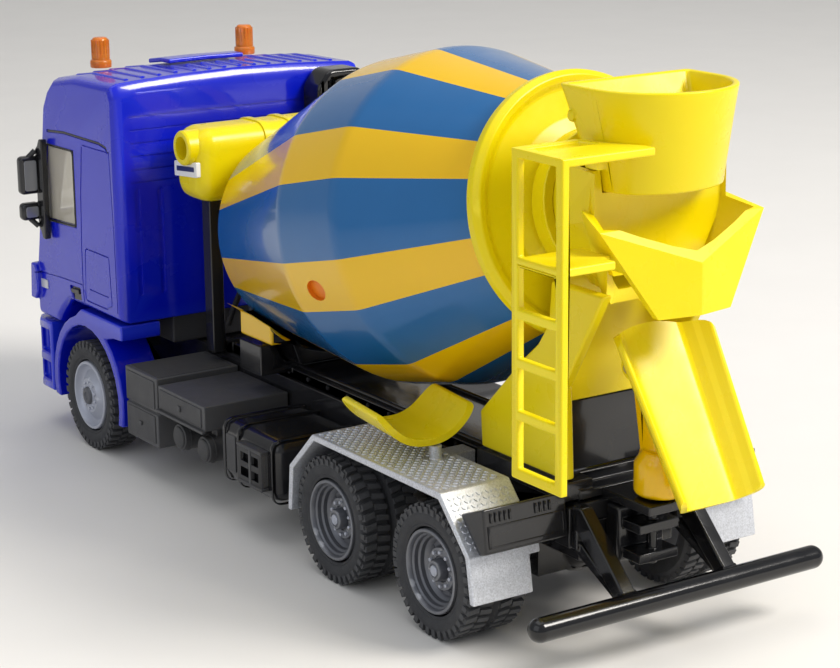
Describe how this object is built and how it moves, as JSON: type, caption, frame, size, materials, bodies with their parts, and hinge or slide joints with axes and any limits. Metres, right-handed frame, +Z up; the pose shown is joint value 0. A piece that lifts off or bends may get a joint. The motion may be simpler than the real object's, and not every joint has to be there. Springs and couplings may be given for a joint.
{
  "type": "toy concrete mixer truck",
  "caption": "Toy concrete mixer truck with a spinning tilted drum, feed hopper, swivelling discharge chute, side ladder, stored extension chute and free-rolling tandem rear wheels.",
  "frame": {"origin": "centre of the bounding box, on the ground under the truck", "axes": "+Y to the back of the truck, +X to its left side, +Z up"},
  "size_m": [0.06, 0.1698, 0.0802],
  "materials": {
    "blue_paint": "gloss",
    "yellow_plastic": "gloss",
    "drum_plastic": "gloss with broad lengthwise blue stripes",
    "black_plastic": "gloss",
    "grey_plastic": "satin",
    "silver_plastic": "satin silver",
    "rubber": "matt",
    "rim_dark": "satin dark grey",
    "rim_light": "satin light grey",
    "steel": "brushed",
    "amber_plastic": "clear amber",
    "clear_plastic": "clear",
    "mirror_plastic": "gloss",
    "seat_plastic": "matt"
  },
  "bodies": {
    "truck": {"air_intake": "black_plastic", "battery_box": "grey_plastic", "beacon_left": "amber_plastic", "beacon_right": "amber_plastic", "cab_interior": "seat_plastic", "cab_shell": "blue_paint", "chassis_frame": "black_plastic", "chute_base": "black_plastic", "collector": "yellow_plastic", "drum_cradle": "yellow_plastic", "drum_gearbox": "grey_plastic", "fender_left": "blue_paint", "fender_right": "blue_paint", "front_bumper": "blue_paint", "front_grille": "black_plastic", "fuel_tank": "black_plastic", "hopper": "yellow_plastic", "ladder": "yellow_plastic", "light_housing_left": "black_plastic", "light_housing_right": "black_plastic", "mirror_left": "mirror_plastic", "mirror_right": "mirror_plastic", "mixer_subframe": "black_plastic", "mudguard_left": "silver_plastic", "mudguard_right": "silver_plastic", "pedestal_left": "yellow_plastic", "pedestal_panel": "black_plastic", "pedestal_right": "yellow_plastic", "rear_bearing": "yellow_plastic", "right_side_tank": "grey_plastic", "roof_hatch": "blue_paint", "side_window_left": "clear_plastic", "side_window_right": "clear_plastic", "tool_box": "grey_plastic", "tow_coupling": "black_plastic", "underrun_bar": "black_plastic", "water_tank": "yellow_plastic", "windscreen": "clear_plastic"},
    "front_wheelset": {"front_axle": "steel", "front_rim_left": "rim_light", "front_rim_right": "rim_light", "front_tyre_left": "rubber", "front_tyre_right": "rubber"},
    "middle_wheelset": {"middle_axle": "steel", "middle_rim_left": "rim_dark", "middle_rim_right": "rim_dark", "middle_tyre_left": "rubber", "middle_tyre_right": "rubber"},
    "back_wheelset": {"back_axle": "steel", "back_rim_left": "rim_dark", "back_rim_right": "rim_dark", "back_tyre_left": "rubber", "back_tyre_right": "rubber"},
    "drum": {"drum_shell": "drum_plastic", "drum_rear_cap": "yellow_plastic"},
    "chute_swivel_arm": {"chute_bracket": "yellow_plastic"},
    "chute": {"discharge_chute": "yellow_plastic", "chute_pin": "steel"},
    "stored_extension": {"extension_chute": "yellow_plastic"}
  },
  "joints": [
    {"name": "front_axle_spin", "type": "hinge", "parent": "truck", "child": "front_wheelset", "pos_m": [0, -0.06, 0.01], "axis": [1, 0, 0], "continuous": true},
    {"name": "middle_axle_spin", "type": "hinge", "parent": "truck", "child": "middle_wheelset", "pos_m": [0, 0.024, 0.01], "axis": [1, 0, 0], "continuous": true},
    {"name": "back_axle_spin", "type": "hinge", "parent": "truck", "child": "back_wheelset", "pos_m": [0, 0.051, 0.01], "axis": [1, 0, 0], "continuous": true},
    {"name": "drum_spin", "type": "hinge", "parent": "truck", "child": "drum", "pos_m": [0, 0.01162, 0.0514], "axis": [0, 0.9761, 0.2171], "continuous": true},
    {"name": "chute_swivel", "type": "hinge", "parent": "truck", "child": "chute_swivel_arm", "pos_m": [0, 0.0716, 0.024], "axis": [0, 0, 1], "range_deg": [-22, 22]},
    {"name": "chute_tilt", "type": "hinge", "parent": "chute_swivel_arm", "child": "chute", "pos_m": [0, 0.0684, 0.0406], "axis": [1, 0, 0], "range_deg": [-5, 20]},
    {"name": "extension_swivel", "type": "hinge", "parent": "truck", "child": "stored_extension", "pos_m": [0.0174, 0.0412, 0.025], "axis": [0, 0, 1], "range_deg": [-5, 90]}
  ]
}
